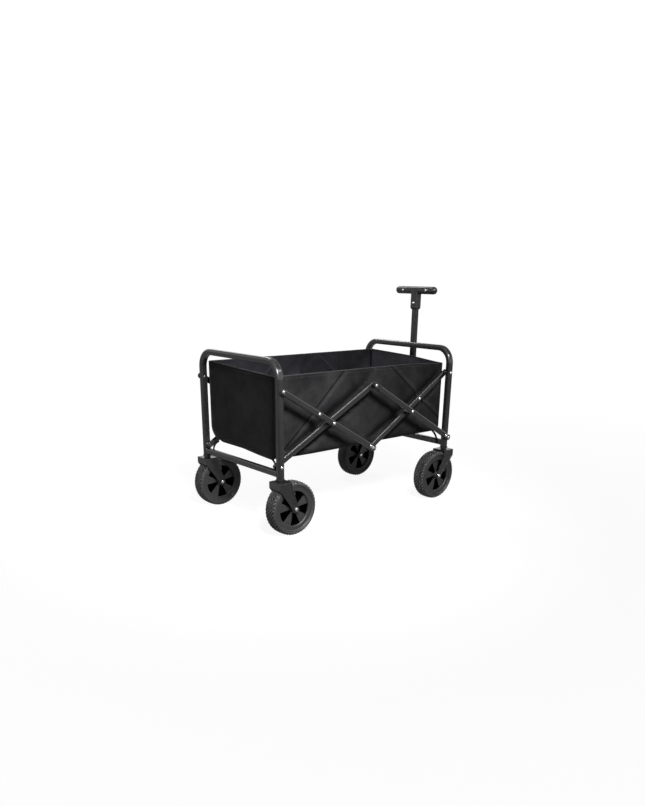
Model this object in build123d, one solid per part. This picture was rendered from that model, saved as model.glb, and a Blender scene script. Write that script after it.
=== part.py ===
from build123d import *
import math
import os

# Collapsible wagon. Millimetres. +X is forward, towards the pull handle, +Y is the left side and
# +Z is up. The origin is on the floor, under the middle of the open wagon.

# End frames: two upside-down U tubes, each with a cross tube near its feet
post_x = 405.0
post_y = 224.0
post_foot = 197.0
frame_top = 570.0
rail_bend = 55.0
frame_wide = 24.0
frame_thin = 20.0
frame_corner = 6.0
frame_wall = 1.5
cross_height = 213.5
cross_deep = 18.0
cross_tall = 22.0
cross_corner = 5.0

# Side linkage: two crossed pairs of bars on each side
upper_pivot = 482.0
lower_pivot = 237.0
bar_rise = 232.0
bar_tall = 21.0
bar_thick = 11.0
bar_corner = 5.0
bar_wall = 1.2
outer_lane = post_y + 16.5
inner_lane_post = post_y - 20.5
inner_lane_middle = post_y + 2.0
crossing = 0.528
crease_rivet = 0.368
bar_end = 4.0
plug_depth = 24.0
eye_radius = 11.0
eye_thick = 8.0
eye_neck = 11.5
eye_tongue = 13.0
eye_depth = 32.0
eye_rivet = 17.0
cap_skin = 0.7
cap_behind = 24.0
cap_end = 11.0
cap_tube = 5.0
tab_radius = 9.0
tab_thick = 3.0
tab_back = 19.0
tab_reach = 17.0

# Rivets
shank = 3.0
fit = 0.05
loose_fit = 0.3
head_radius = 5.5
head_flat = 3.2
head_high = 2.8
tail_radius = 4.5
tail_high = 1.8
tail_low = 0.6
washer_radius = 6.5

# Wheels, forks and their stems
wheel_radius = 93.0
tyre_width = 49.0
tread_width = 33.0
bead_radius = 75.0
bead_width = 43.0
rim_width = 41.0
rim_bore = 60.0
rim_edge = 2.0
web_thick = 4.0
spoke_count = 5
spoke_angle = 34.0
spoke_start = 25.0
spoke_root = 6.0
spoke_thick = 28.0
hub_radius = 14.0
hub_length = 53.0
axle_radius = 4.0
rear_trail = 43.0
front_trail = 52.0
axle_washer = 1.2
axle_washer_radius = 9.0
dome_radius = 6.0
dome_flat = 3.6
dome_high = 3.0
fork_gap = 54.0
fork_sheet = 2.5
fork_top = 189.0
fork_back = 24.0
fork_front = 28.0
fork_skirt = 23.0
fork_boss = 14.0
fork_bow = 0.1
fork_rib = 0.8
fork_rim = 4.5
stem_radius = 5.0
foot_flange = 3.0
foot_flange_radius = 15.0
foot_plug = 26.0
bearing_radius = 11.0
nut_radius = 8.5
nut_thick = 5.0

# Pull handle: a T grip on a tube that slides in a lower tube
handle_x = 441.0
handle_pivot_x = 445.0
tube_wide = 24.0
tube_deep = 19.0
tube_corner = 5.0
tube_wall = 1.5
sleeve_wide = 29.0
sleeve_deep = 23.0
sleeve_corner = 6.0
sleeve_wall = 1.6
sleeve_top = 490.0
sleeve_foot = 234.0
slider_foot = 434.0
socket_foot = 701.0
socket_wide = 35.0
socket_deep = 28.0
socket_corner = 6.0
socket_taper = 6.0
socket_rivet = 725.0
grip_height = 772.0
grip_radius = 14.0
grip_length = 208.0
grip_rivet = 60.0
grip_recess = 2.5
grip_recess_radius = 6.5
handle_gap = 29.0
ear_thick = 3.5
ear_trim = 4.0
foot_eye = 10.0
foot_collar = 6.0
foot_depth = 30.0

# Fabric basket and its two floor boards
basket_top = 529.0
basket_foot = 260.0
panel_x = 396.0
panel_half = 188.0
panel_thick = 3.0
panel_corner = 40.0
wall_foot = 254.0
wall_thick = 2.0
wall_rear = 193.0
wall_front = 190.0
wall_lap = 4.0
board_axis_x = 375.0
board_axis_z = 259.5
board_thick = 5.0
board_length = 345.0
board_half = 168.0
strap_foot = 200.0
strap_reach = 40.0
strap_bow = 9.0
strap_low = 4.0
strap_wide = 10.0
strap_thick = 2.0

bar_length = math.hypot(post_x, bar_rise)
inner_length = math.hypot(bar_length, inner_lane_middle - inner_lane_post)
lower_middle = upper_pivot - bar_rise
upper_middle = lower_pivot + bar_rise
outer_skin = outer_lane + bar_thick / 2
post_skin = post_y + frame_thin / 2
post_inside = post_y - frame_thin / 2


def ring(wide, tall, corner, wall):
    """Cross-section of a hollow tube with rounded corners."""
    hollow = RectangleRounded(wide - 2 * wall, tall - 2 * wall, corner - wall)
    return RectangleRounded(wide, tall, corner) - hollow


def rod(x, z, start, end, radius):
    """Round rod along Y."""
    return Pos(x, (start + end) / 2, z) * Rot(90, 0, 0) * Cylinder(radius, abs(end - start))


def head(x, z, seat, way=1):
    """Low rivet head standing on the plane y = seat, towards way."""
    cone = Cone(head_radius, head_flat, head_high)
    return Pos(x, seat + way * head_high / 2, z) * Rot(-90 * way, 0, 0) * cone


def right_side(shape):
    """The same piece on the other side of the wagon."""
    return mirror(shape, about=Plane.XZ)


def both_sides(shape):
    return [shape, right_side(shape)]


def to_front(shape):
    """The same piece at the front end."""
    return mirror(shape, about=Plane.YZ)


def bar_plane(start, end):
    """Plane at the start of a bar, with its normal along the bar and its X across the wagon."""
    return Plane(origin=start, x_dir=(0, 1, 0), z_dir=Vector(*end) - Vector(*start))


def bar_prism(plane, section, begin, finish):
    return extrude(plane.offset(begin) * section, amount=finish - begin)


def point_along(start, end, distance):
    return Vector(*start) + (Vector(*end) - Vector(*start)).normalized() * distance


# End points of the left side's four bars: post end first, then the end in the middle
rear_outer = ((-post_x, outer_lane, upper_pivot), (0, outer_lane, lower_middle))
rear_inner = ((-post_x, inner_lane_post, lower_pivot), (0, inner_lane_middle, upper_middle))
front_inner = ((post_x, inner_lane_post, upper_pivot), (0, inner_lane_middle, lower_middle))
front_outer = ((post_x, outer_lane, lower_pivot), (0, outer_lane, upper_middle))


def frame_tube(x):
    """End frame: one tube bent into an upside-down U, drilled for the four pivot rivets."""
    foot = (x, -post_y, post_foot)
    corners = [(x, -post_y, frame_top), (x, post_y, frame_top), (x, post_y, post_foot)]
    path = FilletPolyline(foot, *corners, radius=rail_bend)
    start = Plane(origin=foot, x_dir=(1, 0, 0), z_dir=(0, 0, 1))
    tube = sweep(start * ring(frame_wide, frame_thin, frame_corner, frame_wall), path=path)
    for height in (upper_pivot, lower_pivot):
        tube -= rod(x, height, -post_y - frame_thin, post_y + frame_thin, shank + fit)
    return tube


def cross_tube(x):
    """Cross tube welded between the posts, just above their feet."""
    start = Plane(origin=(x, -post_inside, cross_height), x_dir=(1, 0, 0), z_dir=(0, 1, 0))
    return extrude(start * ring(cross_deep, cross_tall, cross_corner, frame_wall), 2 * post_inside)


def bar_tube(ends, begin, finish, holes):
    """Hollow bar between two pivots, drilled along Y at the given distances from its post end."""
    section = ring(bar_thick, bar_tall, bar_corner, bar_wall)
    tube = bar_prism(bar_plane(*ends), section, begin, finish)
    for distance in holes:
        at = point_along(*ends, distance)
        tube -= rod(at.X, at.Z, at.Y - bar_thick, at.Y + bar_thick, shank + fit)
    return tube


def bar_plug(ends, pivot, way):
    """Moulded plug in a bar's open end, rounded about the rivet; way points out of the bar."""
    plane = bar_plane(*ends)
    mouth = pivot + way * bar_end
    slack = 2 * bar_wall + 4 * fit
    core = RectangleRounded(bar_thick - slack, bar_tall - slack, bar_corner - bar_wall)
    cap = bar_prism(plane, RectangleRounded(bar_thick, bar_tall, bar_corner), mouth, pivot + way * bar_tall)
    turn = Pos(0, 0, pivot) * Rot(0, 90, 0) * Cylinder(bar_tall / 2, 2 * bar_tall)
    plug = cap & (plane.location * turn)
    plug += bar_prism(plane, core, mouth, mouth - way * plug_depth)
    at = point_along(*ends, pivot)
    return plug - rod(at.X, at.Z, at.Y - bar_thick, at.Y + bar_thick, shank + fit)


def upper_cap(ends, length):
    """Moulded cap over the bar end at the upper middle pivot, rounded about the rivet."""
    plane = bar_plane(*ends)
    wide = bar_thick + 2 * cap_skin
    tall = bar_tall + 2 * cap_skin
    mouth = length - cap_behind
    block = bar_prism(plane, RectangleRounded(wide, tall, bar_corner), mouth, length + cap_end)
    block -= bar_prism(plane, RectangleRounded(bar_thick, bar_tall, bar_corner), mouth, length + cap_tube)
    turn = Pos(0, 0, length) * Rot(0, 90, 0) * Cylinder(cap_end, 2 * wide)
    tail = Pos(0, 0, length - tall) * Box(2 * wide, 2 * tall, 2 * tall)
    block = block & (plane.location * (turn + tail))
    at = point_along(*ends, length)
    return block - rod(at.X, at.Z, at.Y - wide, at.Y + wide, shank + fit)


def eye_end(ends, pivot, way, hole):
    """Flat tongue fixed in a bar's end by a rivet, with a round eye on the pivot outside it."""
    at = point_along(*ends, pivot)
    plane = Plane(origin=at, x_dir=(Vector(*ends[0]) - Vector(*ends[1])) * way, z_dir=(0, 1, 0))
    outline = Circle(eye_radius) + Pos(eye_depth / 2, 0) * Rectangle(eye_depth, eye_tongue)
    tongue = extrude(plane.offset(-eye_thick / 2) * outline, eye_thick)
    tongue -= rod(at.X, at.Z, at.Y - bar_thick, at.Y + bar_thick, hole)
    fixing = point_along(*ends, pivot - way * eye_rivet)
    return tongue - rod(fixing.X, fixing.Z, at.Y - bar_thick, at.Y + bar_thick, shank + fit)


def side_rivet(ends, distance, outside, inside, tail=tail_high):
    """Rivet through a bar: head on the outer face, tail on the inner one."""
    at = point_along(*ends, distance)
    pin = rod(at.X, at.Z, inside, outside, shank) + head(at.X, at.Z, outside)
    return pin + rod(at.X, at.Z, inside - tail, inside, tail_radius)


def post_rivet_outer(x, height, eye):
    """Pivot rivet that holds an outer bar, or the eye on its end, against a post."""
    lane = eye_thick if eye else bar_thick
    seat = outer_lane + lane / 2 + 2 * fit
    pin = rod(x, height, post_inside, seat, shank) + head(x, height, seat)
    pin += rod(x, height, post_skin, outer_lane - lane / 2 - 2 * fit, washer_radius)
    return pin + rod(x, height, post_inside - tail_high, post_inside, tail_radius)


def post_rivet_inner(x, height):
    """Pivot rivet that holds an inner bar behind a post, with a spacer between them."""
    near = inner_lane_post + bar_thick / 2 + 2 * loose_fit
    far = inner_lane_post - bar_thick / 2 - 2 * loose_fit
    pin = rod(x, height, far, post_skin, shank) + head(x, height, post_skin)
    pin += rod(x, height, near, post_inside, washer_radius)
    return pin + rod(x, height, far - tail_high, far, tail_radius)


def middle_rivet(height, seat, washer):
    """Pivot rivet at the middle: head outside the outer bar, tail inside the inner one."""
    far = inner_lane_middle - bar_thick / 2 - cap_skin - 2 * loose_fit
    near = inner_lane_middle + bar_thick / 2 + cap_skin + 2 * loose_fit
    pin = rod(0, height, far, seat, shank) + head(0, height, seat)
    pin += rod(0, height, near, washer, washer_radius)
    return pin + rod(0, height, far - tail_high, far, tail_radius)


def crossing_rivet(ends, distance):
    """Rivet where two bars cross: its nylon spacer bears on the inner bar as the linkage opens."""
    lane = inner_lane_post + crossing * (inner_lane_middle - inner_lane_post)
    at = point_along(*ends, distance)
    pin = rod(at.X, at.Z, outer_lane - bar_thick / 2, outer_skin, shank) + head(at.X, at.Z, outer_skin)
    spacer_end = lane + bar_thick / 2 + 3 * loose_fit
    return pin + rod(at.X, at.Z, spacer_end, outer_lane - bar_thick / 2, washer_radius)


def basket_tab():
    """Lug on the rear inner bar that holds the basket's top edge near the upper middle pivot."""
    bar = bar_plane(*rear_inner)
    face = point_along(*rear_inner, inner_length - tab_back) - bar.x_dir * (bar_thick / 2 + cap_skin)
    plane = Plane(origin=face, x_dir=bar.z_dir, z_dir=-bar.x_dir)
    outline = Pos(0, tab_reach / 2) * Rectangle(2 * tab_radius, tab_reach)
    outline += Pos(0, tab_reach) * Circle(tab_radius)
    tab = extrude(plane * outline, tab_thick)
    stud = plane * Pos(0, tab_reach, tab_thick + tail_high / 2) * Cylinder(tail_radius, tail_high)
    return tab + stud


def trail(post_end):
    """Distance from a post's axis to the axle behind it."""
    return front_trail if post_end > 0 else rear_trail


def fork_outline(axle_at):
    """Side view of a fork arm, stem at x = 0, axle at x = axle_at; it narrows to a round boss."""
    brow = fork_top - fork_skirt
    chin = (axle_at - fork_boss, wheel_radius)
    left = ThreePointArc((-fork_back, brow), (axle_at * fork_bow, (brow + wheel_radius) / 2), chin)
    boss = ThreePointArc(chin, (axle_at, wheel_radius - fork_boss), (axle_at + fork_boss, wheel_radius))
    right = Line((axle_at + fork_boss, wheel_radius), (fork_front, brow))
    front = Line((fork_front, brow), (fork_front, fork_top))
    top = Line((fork_front, fork_top), (-fork_back, fork_top))
    back = Line((-fork_back, fork_top), (-fork_back, brow))
    return make_face(left + boss + right + front + top + back)


def fork(post_end, side):
    """Pressed-steel fork: top plate, two ribbed arms and a short skirt on its outer end."""
    half = fork_gap / 2 + fork_sheet
    outline = fork_outline(trail(post_end))
    arm = extrude(Plane.XZ.offset(-half) * outline, fork_sheet)
    panel = offset(outline, -fork_rim)
    arm -= extrude(Plane.XZ.offset(-half) * panel, fork_rib)
    plate_mid = (fork_front - fork_back) / 2
    plate = Pos(plate_mid, 0, fork_top - fork_sheet / 2) * Box(fork_front + fork_back, 2 * half, fork_sheet)
    skirt_at = Pos(-fork_back + fork_sheet / 2, 0, fork_top - fork_skirt / 2)
    body = plate + arm + mirror(arm, about=Plane.XZ) + skirt_at * Box(fork_sheet, 2 * half, fork_skirt)
    bends = body.edges().filter_by(Axis.X).group_by(Axis.Z)[-1]
    body = fillet(bends, fork_sheet)
    body -= rod(trail(post_end), wheel_radius, -2 * half, 2 * half, axle_radius + fit)
    body -= Pos(0, 0, fork_top) * Cylinder(stem_radius + fit, 4 * fork_sheet)
    if post_end > 0:
        body = to_front(body)
    return Pos(post_end * post_x, side * post_y, 0) * body


def stem(post_end, side):
    """Foot plug of a post with its flange, bearing washer, stem and nut under the fork plate."""
    flange_under = post_foot - foot_flange
    bearing_under = fork_top + 2 * fit
    nut_top = fork_top - fork_sheet - 2 * fit
    slack = 2 * frame_wall + 4 * fit
    section = RectangleRounded(frame_wide - slack, frame_thin - slack, frame_corner - frame_wall)
    body = extrude(Pos(0, 0, post_foot) * section, foot_plug)
    body += Pos(0, 0, post_foot - foot_flange / 2) * Cylinder(foot_flange_radius, foot_flange)
    bearing = Cylinder(bearing_radius, flange_under - bearing_under)
    body += Pos(0, 0, (flange_under + bearing_under) / 2) * bearing
    body += Pos(0, 0, (flange_under + nut_top) / 2) * Cylinder(stem_radius, flange_under - nut_top)
    body += extrude(Pos(0, 0, nut_top - nut_thick) * RegularPolygon(nut_radius, 6), nut_thick)
    return Pos(post_end * post_x, side * post_y, 0) * body


def axle(post_end, side):
    """Axle bolt with a washer and a low domed head at each end."""
    half = fork_gap / 2 + fork_sheet
    seat = half + axle_washer
    x = post_end * (post_x - trail(post_end))
    bolt = rod(x, wheel_radius, -seat, seat, axle_radius)
    for way in (-1, 1):
        bolt += rod(x, wheel_radius, way * half, way * seat, axle_washer_radius)
        dome = Rot(-90 * way, 0, 0) * Cone(dome_radius, dome_flat, dome_high)
        bolt += Pos(x, way * (seat + dome_high / 2), wheel_radius) * dome
    return Pos(0, side * post_y, 0) * bolt


def wheel_place(post_end, side):
    """Where a wheel, made round the upright axis, sits at one corner."""
    return Pos(post_end * (post_x - trail(post_end)), side * post_y, wheel_radius) * Rot(90, 0, 0)


def wheel_rim():
    """Moulded wheel: hub, closed web, wedge spokes on both faces and a lipped rim."""
    lip = rim_width / 2
    corner = rim_bore + rim_edge
    rim_profile = Polyline(
        (rim_bore, -lip + rim_edge), (corner, -lip), (bead_radius, -lip),
        (bead_radius, lip), (corner, lip), (rim_bore, lip - rim_edge), close=True,
    )
    body = revolve(Plane.XZ * make_face(rim_profile), Axis.Z)
    reach = rim_bore + rim_edge / 2
    body += Cylinder(reach, web_thick)
    body += chamfer(Cylinder(hub_radius, hub_length).edges(), rim_edge)
    spread = math.tan(math.radians(spoke_angle / 2))
    near = spoke_root * spread
    far = reach * spread
    wedge = Polyline((spoke_root, -near), (reach, -far), (reach, far), (spoke_root, near), close=True)
    spoke = make_face(wedge)
    for place in PolarLocations(0, spoke_count, start_angle=spoke_start):
        body += place * extrude(spoke, spoke_thick / 2, both=True)
    return body - Cylinder(axle_radius + fit, 2 * hub_length)


def tyre():
    """Solid tyre: flat side walls, rounded shoulders and a nearly flat tread."""
    side = tyre_width / 2
    crown = tread_width / 2
    seat = bead_width / 2
    wall_low = bead_radius + side - seat
    wall_high = wheel_radius - (side - crown)
    half = Polyline((bead_radius, 0), (bead_radius, seat), (wall_low, side), (wall_high, side))
    turn = (side - crown) * math.sqrt(0.5)
    half += ThreePointArc((wall_high, side), (wall_high + turn, crown + turn), (wheel_radius, crown))
    half += Line((wheel_radius, crown), (wheel_radius, 0))
    whole = half + mirror(half, about=Plane.XZ)
    return revolve(Plane.XZ * make_face(whole), Axis.Z)


def handle_bracket():
    """Clevis on the front cross tube that carries the handle's pivot pin."""
    face = post_x + cross_deep / 2
    ear_y = handle_gap / 2 + ear_thick / 2 + loose_fit
    tall = cross_tall - ear_trim
    base = Pos(face + ear_thick / 2, 0, cross_height) * Box(ear_thick, 2 * ear_y + ear_thick, tall)
    reach = handle_pivot_x - face
    ear = Pos(face + reach / 2, ear_y, cross_height) * Box(reach, ear_thick, tall)
    ear += rod(handle_pivot_x, cross_height, ear_y - ear_thick / 2, ear_y + ear_thick / 2, tall / 2)
    body = base + ear + right_side(ear)
    return body - rod(handle_pivot_x, cross_height, -2 * ear_y, 2 * ear_y, shank + fit)


def handle_pin():
    """Pivot pin through the clevis, headed at both ends."""
    half = handle_gap / 2 + ear_thick + loose_fit
    pin = rod(handle_pivot_x, cross_height, -half, half, shank)
    return pin + head(handle_pivot_x, cross_height, half) + head(handle_pivot_x, cross_height, -half, -1)


def handle_foot():
    """Moulded foot: an eye on the pivot pin, a collar and a plug up into the lower tube."""
    half = handle_gap / 2
    body = rod(handle_pivot_x, cross_height, -half, half, foot_eye)
    neck_deep = 2 * (handle_pivot_x + foot_eye - handle_x) - ear_trim
    neck = Box(neck_deep, 2 * half - ear_trim, sleeve_foot - cross_height)
    body += Pos(handle_x + ear_trim / 2, 0, (cross_height + sleeve_foot) / 2) * neck
    slack = 2 * sleeve_wall + 8 * fit
    core = RectangleRounded(sleeve_deep - slack, sleeve_wide - slack, sleeve_corner - sleeve_wall)
    body += extrude(Pos(handle_x, 0, sleeve_foot) * core, foot_depth)
    collar = RectangleRounded(sleeve_deep, sleeve_wide, sleeve_corner)
    body += extrude(Pos(handle_x, 0, sleeve_foot - foot_collar) * collar, foot_collar)
    return body - rod(handle_pivot_x, cross_height, -2 * half, 2 * half, shank + fit)


def handle_tubes():
    """Lower tube, and the upper tube that slides in it and ends inside the grip."""
    lower = Pos(handle_x, 0, sleeve_foot) * ring(sleeve_deep, sleeve_wide, sleeve_corner, sleeve_wall)
    upper = Pos(handle_x, 0, slider_foot) * ring(tube_deep, tube_wide, tube_corner, tube_wall)
    return extrude(lower, sleeve_top - sleeve_foot), extrude(upper, grip_height - slider_foot)


def handle_pocket():
    """Hole that the upper tube sits in."""
    pocket = RectangleRounded(tube_deep + 4 * fit, tube_wide + 4 * fit, tube_corner)
    return extrude(Pos(handle_x, 0, socket_foot - 1) * pocket, grip_height - socket_foot + 1 + fit)


def handle_socket():
    """Moulded collar under the grip, drawn in at its lower end."""
    full = RectangleRounded(socket_deep, socket_wide, socket_corner)
    small = RectangleRounded(socket_deep - socket_taper, socket_wide - socket_taper, socket_corner)
    mouth = Pos(handle_x, 0, socket_foot) * small
    shoulder = Pos(handle_x, 0, socket_foot + socket_taper) * full
    body = loft([mouth, shoulder])
    body += extrude(shoulder, grip_height - socket_foot - socket_taper)
    body -= rod(handle_x, grip_height, -socket_wide, socket_wide, grip_radius + fit)
    return body - handle_pocket()


def handle_grip():
    """T grip: round bar with ball ends and two rivet recesses on its wagon side."""
    straight = grip_length / 2 - grip_radius
    turn = grip_radius * math.sqrt(0.5)
    profile = Line((0, -grip_length / 2), (0, grip_length / 2))
    profile += ThreePointArc((0, grip_length / 2), (turn, straight + turn), (grip_radius, straight))
    profile += Line((grip_radius, straight), (grip_radius, -straight))
    profile += ThreePointArc((grip_radius, -straight), (turn, -straight - turn), (0, -grip_length / 2))
    body = Pos(handle_x, 0, grip_height) * revolve(make_face(profile), Axis.Y)
    for y in (-grip_rivet, grip_rivet):
        recess = Rot(0, 90, 0) * Cylinder(grip_recess_radius, 2 * grip_recess)
        body -= Pos(handle_x - grip_radius, y, grip_height) * recess
    return body - handle_pocket()


def handle_rivets():
    """Rivets in the grip's two recesses and one in the socket."""
    floor = handle_x - grip_radius + grip_recess
    face = handle_x - socket_deep / 2
    places = [(floor, -grip_rivet, grip_height), (floor, grip_rivet, grip_height), (face, 0, socket_rivet)]
    cone = Rot(0, -90, 0) * Cone(head_radius, head_flat, head_high)
    return [Pos(x - head_high / 2, y, z) * cone for x, y, z in places]


def end_panel():
    """Rear end of the basket, with rounded lower corners."""
    tall = basket_top - basket_foot
    outline = Pos(0, basket_foot + tall / 2) * Rectangle(2 * panel_half, tall)
    outline = fillet(outline.vertices().group_by(Axis.Y)[0], panel_corner)
    plane = Plane(origin=(-panel_x, 0, 0), x_dir=(0, 1, 0), z_dir=(1, 0, 0))
    return extrude(plane * outline, -panel_thick)


def side_wall(lane):
    """Rear half of one side of the basket; lane sets it clear of the half that it laps."""
    long = panel_x - panel_thick + wall_lap
    tall = basket_top - wall_foot
    centre = Pos(wall_lap - long / 2, lane, wall_foot + tall / 2)
    return centre * Box(long, wall_thick, tall)


def floor_board():
    """Rear floor board, with a round nose on its hinge line."""
    board = Box(board_length, 2 * board_half, board_thick)
    board = Pos(-board_axis_x + board_length / 2, 0, board_axis_z) * board
    return board + rod(-board_axis_x, board_axis_z, -board_half, board_half, board_thick / 2)


def corner_strap():
    """Curved strap from the rear cross tube to the lower edge of the end panel, left side."""
    low = cross_height - cross_tall / 2 + strap_low
    tip = strap_foot - strap_reach
    middle = strap_foot - strap_bow
    rise = (low + basket_foot) / 2
    outer = ThreePointArc((strap_foot, low), (middle, rise + strap_bow), (tip, basket_foot))
    lip = Line((tip, basket_foot), (tip - strap_wide, basket_foot))
    heel = strap_foot - strap_wide
    inner = ThreePointArc((tip - strap_wide, basket_foot), (middle - strap_wide, rise), (heel, low))
    base = Line((heel, low), (strap_foot, low))
    plane = Plane(origin=(-post_x + cross_deep / 2, 0, 0), x_dir=(0, 1, 0), z_dir=(1, 0, 0))
    return extrude(plane * make_face(outer + lip + inner + base), strap_thick)


def rear_outer_pieces():
    """Rear outer bars: plug at the post, eye at the lower middle pivot, and their rivets."""
    holes = (0, crease_rivet * bar_length, crossing * bar_length, bar_length - eye_rivet)
    bar = bar_tube(rear_outer, -bar_end, bar_length - eye_neck, holes)
    inside = outer_lane - bar_thick / 2
    eye_face = outer_lane + eye_thick / 2
    rivets = [
        side_rivet(rear_outer, crease_rivet * bar_length, outer_skin, inside),
        crossing_rivet(rear_outer, crossing * bar_length),
        side_rivet(rear_outer, bar_length - eye_rivet, outer_skin, inside, tail_low),
        middle_rivet(lower_middle, eye_face, outer_lane - eye_thick / 2),
    ]
    return {
        "rear_outer_bar_left": [bar],
        "rear_outer_bar_right": [right_side(bar)],
        "rear_outer_plugs": both_sides(bar_plug(rear_outer, 0, -1)),
        "lower_eyes": both_sides(eye_end(rear_outer, bar_length, 1, shank + fit)),
        "rear_outer_rivets": [piece for rivet in rivets for piece in both_sides(rivet)],
    }


def rear_inner_pieces():
    """Rear inner bars: plug at the post, cap and basket lug at the upper middle pivot."""
    bar = bar_tube(rear_inner, -bar_end, inner_length + cap_tube, (0, inner_length))
    return {
        "rear_inner_bar_left": [bar],
        "rear_inner_bar_right": [right_side(bar)],
        "rear_inner_plugs": both_sides(bar_plug(rear_inner, 0, -1)),
        "rear_upper_caps": both_sides(upper_cap(rear_inner, inner_length)),
        "basket_tabs": both_sides(basket_tab()),
    }


def front_inner_pieces():
    """Front inner bars: a plug at each end and the crease rivet."""
    crease = crease_rivet * inner_length
    bar = bar_tube(front_inner, -bar_end, inner_length + bar_end, (0, crease, inner_length))
    lane = inner_lane_post + crease_rivet * (inner_lane_middle - inner_lane_post)
    seat = bar_thick / 2 + loose_fit
    rivet = side_rivet(front_inner, crease, lane + seat, lane - seat)
    plugs = both_sides(bar_plug(front_inner, 0, -1)) + both_sides(bar_plug(front_inner, inner_length, 1))
    return {
        "front_inner_bar_left": [bar],
        "front_inner_bar_right": [right_side(bar)],
        "front_inner_plugs": plugs,
        "front_inner_rivets": both_sides(rivet),
    }


def front_outer_pieces():
    """Front outer bars: eye at the post, cap at the upper middle pivot, and their rivets."""
    holes = (eye_rivet, crossing * bar_length, bar_length)
    bar = bar_tube(front_outer, eye_neck, bar_length + cap_tube, holes)
    cap_face = outer_skin + cap_skin
    rivets = [
        side_rivet(front_outer, eye_rivet, outer_skin, outer_lane - bar_thick / 2, tail_low),
        crossing_rivet(front_outer, crossing * bar_length),
        middle_rivet(upper_middle, cap_face, outer_lane - bar_thick / 2 - cap_skin),
    ]
    return {
        "front_outer_bar_left": [bar],
        "front_outer_bar_right": [right_side(bar)],
        "front_outer_eyes": both_sides(eye_end(front_outer, 0, -1, shank + loose_fit)),
        "front_upper_caps": both_sides(upper_cap(front_outer, bar_length)),
        "front_outer_rivets": [piece for rivet in rivets for piece in both_sides(rivet)],
    }


def end_frame_pieces():
    """Both end frames with their rivets, basket ends, walls and straps."""
    rear_rivets = [post_rivet_outer(-post_x, upper_pivot, False), post_rivet_inner(-post_x, lower_pivot)]
    front_rivets = [post_rivet_inner(post_x, upper_pivot), post_rivet_outer(post_x, lower_pivot, True)]
    rear_wall = side_wall(wall_rear)
    front_wall = to_front(side_wall(wall_front))
    return {
        "rear_frame_tube": [frame_tube(-post_x)],
        "rear_crossbar": [cross_tube(-post_x)],
        "rear_pivot_rivets": [piece for rivet in rear_rivets for piece in both_sides(rivet)],
        "rear_end_panel": [end_panel()],
        "rear_side_wall_left": [rear_wall],
        "rear_side_wall_right": [right_side(rear_wall)],
        "rear_corner_straps": both_sides(corner_strap()),
        "rear_floor_board": [floor_board()],
        "front_frame_tube": [frame_tube(post_x)],
        "front_crossbar": [cross_tube(post_x)],
        "front_pivot_rivets": [piece for rivet in front_rivets for piece in both_sides(rivet)],
        "front_end_panel": [to_front(end_panel())],
        "front_side_wall_left": [front_wall],
        "front_side_wall_right": [right_side(front_wall)],
        "front_corner_straps": [to_front(strap) for strap in both_sides(corner_strap())],
        "front_floor_board": [to_front(floor_board())],
    }


def running_gear_pieces():
    """Stems, forks, axle bolts and wheels at the four corners."""
    sides = {"left": 1, "right": -1}
    rim = wheel_rim()
    rubber = tyre()
    pieces = {
        "rear_stems": [stem(-1, side) for side in sides.values()],
        "rear_axles": [axle(-1, side) for side in sides.values()],
        "front_stems": [stem(1, side) for side in sides.values()],
    }
    for name, side in sides.items():
        pieces["front_axle_" + name] = [axle(1, side)]
        for end_name, post_end in (("rear", -1), ("front", 1)):
            pieces[end_name + "_fork_" + name] = [fork(post_end, side)]
            pieces[end_name + "_rim_" + name] = [wheel_place(post_end, side) * rim]
            pieces[end_name + "_tyre_" + name] = [wheel_place(post_end, side) * rubber]
    return pieces


def handle_pieces():
    """Pull handle, from its clevis up to the grip."""
    lower, upper = handle_tubes()
    return {
        "handle_bracket": [handle_bracket()],
        "handle_pin": [handle_pin()],
        "handle_foot": [handle_foot()],
        "handle_outer_tube": [lower],
        "handle_inner_tube": [upper],
        "handle_socket": [handle_socket()],
        "handle_grip": [handle_grip()],
        "handle_rivets": handle_rivets(),
    }


def main():
    os.makedirs("parts", exist_ok=True)
    groups = (
        end_frame_pieces, rear_outer_pieces, rear_inner_pieces, front_inner_pieces,
        front_outer_pieces, running_gear_pieces, handle_pieces,
    )
    for group in groups:
        for node, shapes in group().items():
            solids = [solid for shape in shapes for solid in shape.solids()]
            whole = solids[0] if len(solids) == 1 else Compound(children=solids)
            export_step(whole, os.path.join("parts", node + ".step"))


main()
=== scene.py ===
import math
import bpy
import numpy as np
from mathutils import Matrix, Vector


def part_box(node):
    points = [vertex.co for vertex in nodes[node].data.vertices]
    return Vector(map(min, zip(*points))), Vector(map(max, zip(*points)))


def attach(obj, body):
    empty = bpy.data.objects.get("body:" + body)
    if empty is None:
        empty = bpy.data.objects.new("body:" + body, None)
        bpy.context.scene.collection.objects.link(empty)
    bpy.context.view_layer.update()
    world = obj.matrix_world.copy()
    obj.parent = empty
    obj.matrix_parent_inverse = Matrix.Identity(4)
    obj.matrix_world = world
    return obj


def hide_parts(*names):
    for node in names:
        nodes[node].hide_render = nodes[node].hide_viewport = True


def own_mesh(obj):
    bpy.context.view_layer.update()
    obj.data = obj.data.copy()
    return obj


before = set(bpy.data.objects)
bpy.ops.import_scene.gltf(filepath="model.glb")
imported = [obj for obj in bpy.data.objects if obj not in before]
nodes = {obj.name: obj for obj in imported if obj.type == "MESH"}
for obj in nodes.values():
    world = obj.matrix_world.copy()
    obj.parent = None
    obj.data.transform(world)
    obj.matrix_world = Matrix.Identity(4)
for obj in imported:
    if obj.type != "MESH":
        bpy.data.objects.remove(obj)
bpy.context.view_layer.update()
scene = bpy.context.scene
print("frame loaded, nodes:", len(nodes))

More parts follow.
